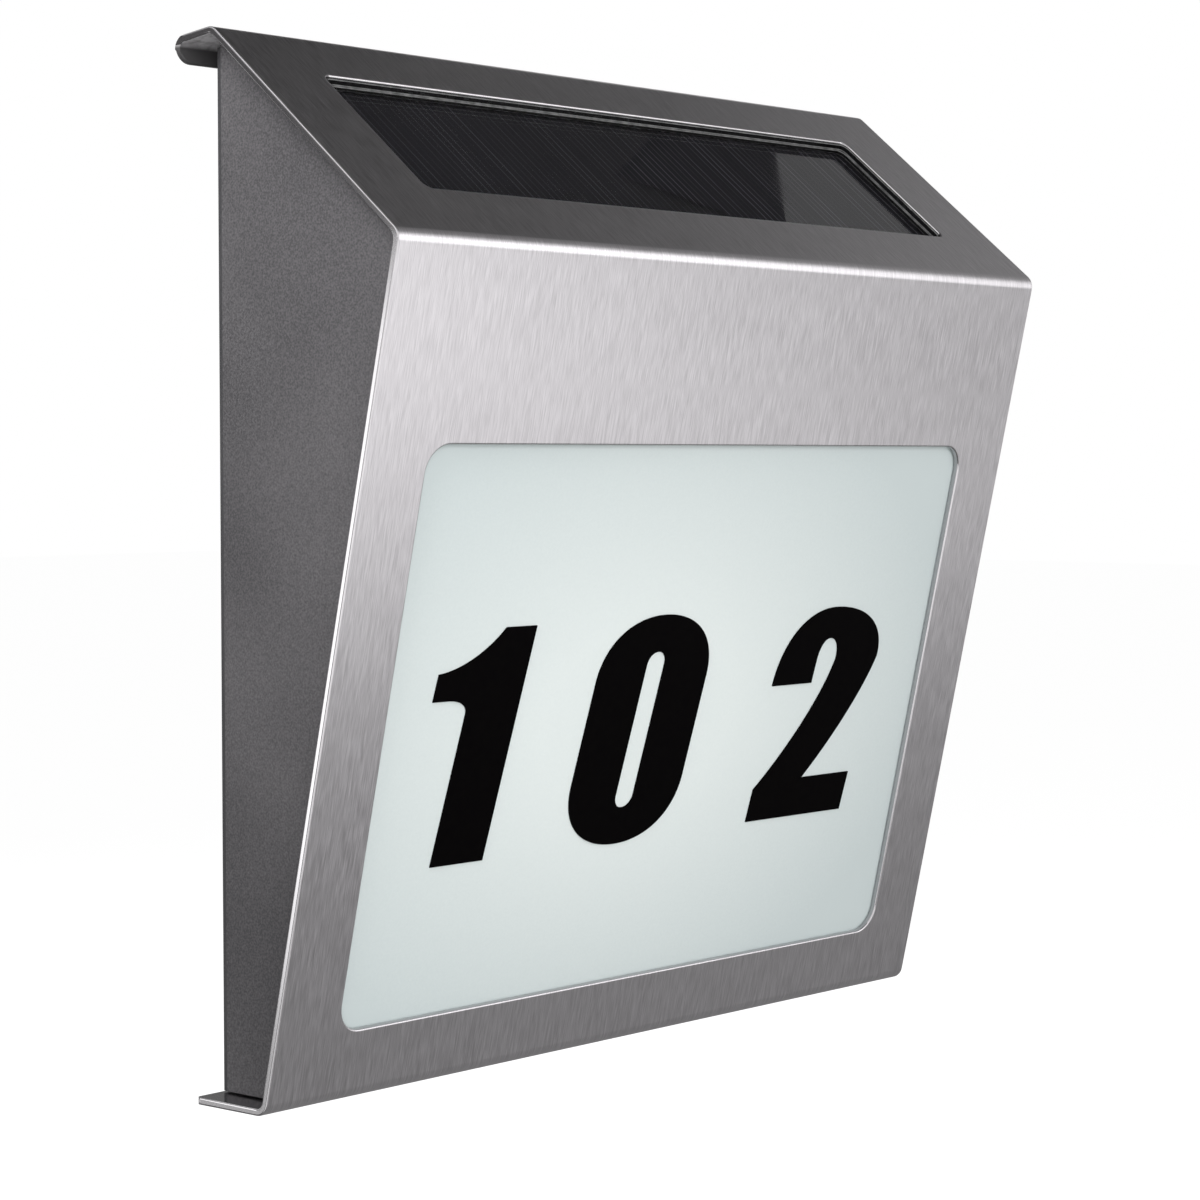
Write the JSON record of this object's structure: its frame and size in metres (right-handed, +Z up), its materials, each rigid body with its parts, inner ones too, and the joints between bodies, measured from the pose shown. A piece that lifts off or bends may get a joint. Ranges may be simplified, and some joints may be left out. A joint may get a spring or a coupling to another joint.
{
  "type": "solar house number light",
  "caption": "Wall light in folded brushed steel with a sloping solar panel on top and a frosted, lit panel for a house number in front.",
  "frame": {"origin": "on the wall plane, midway between the two wall-screw holes of the bracket", "axes": "+Z up, +Y into the wall, +X to the right for someone facing the number"},
  "size_m": [0.18, 0.0527, 0.1812],
  "materials": {
    "brushed_stainless": "brushed along the height of the face",
    "galvanised_steel": "dull zinc plating",
    "grey_abs": "fine moulded texture",
    "frosted_acrylic": "frosted, pale greenish white",
    "black_vinyl": "satin film",
    "black_abs": "glossy black",
    "clear_cover": "clear and glossy",
    "solar_silicon": "blue-black with fine lines",
    "green_board": "solder mask",
    "white_board": "white solder mask",
    "white_abs": "matt white",
    "led_resin": "phosphor resin",
    "black_foam": "closed-cell foam",
    "plated_steel": "bright zinc plating",
    "chip_resin": "moulded resin",
    "copper_coil": "enamelled copper",
    "battery_wrap": "shrink sleeve",
    "wire_jacket": "smooth jacket"
  },
  "bodies": {
    "lamp": {"back_cover": "grey_abs", "back_screws": "plated_steel", "battery": "battery_wrap", "battery_door": "grey_abs", "battery_leads": "wire_jacket", "battery_plate": "plated_steel", "battery_spring": "plated_steel", "board_screws": "plated_steel", "boost_coil": "copper_coil", "capacitor": "chip_resin", "control_board": "green_board", "control_chip": "chip_resin", "cover_screws": "plated_steel", "digit_one": "black_vinyl", "digit_two": "black_vinyl", "digit_zero": "black_vinyl", "door_screw": "plated_steel", "door_seal": "black_foam", "front_cover": "brushed_stainless", "lamp_housing": "grey_abs", "led_board": "white_board", "led_leads": "wire_jacket", "leds": "led_resin", "number_panel": "frosted_acrylic", "panel_seal": "black_foam", "reflector": "white_abs", "solar_backing": "green_board", "solar_cells": "solar_silicon", "solar_frame": "black_abs", "solar_glass": "clear_cover", "solar_leads": "wire_jacket", "switch_body": "black_abs", "wall_bracket": "galvanised_steel"},
    "knob": {"switch_knob": "black_abs"}
  },
  "joints": [
    {"name": "switch_slide", "type": "slide", "parent": "lamp", "child": "knob", "axis": [1, 0, 0], "range_m": [0, 0.0025]}
  ]
}
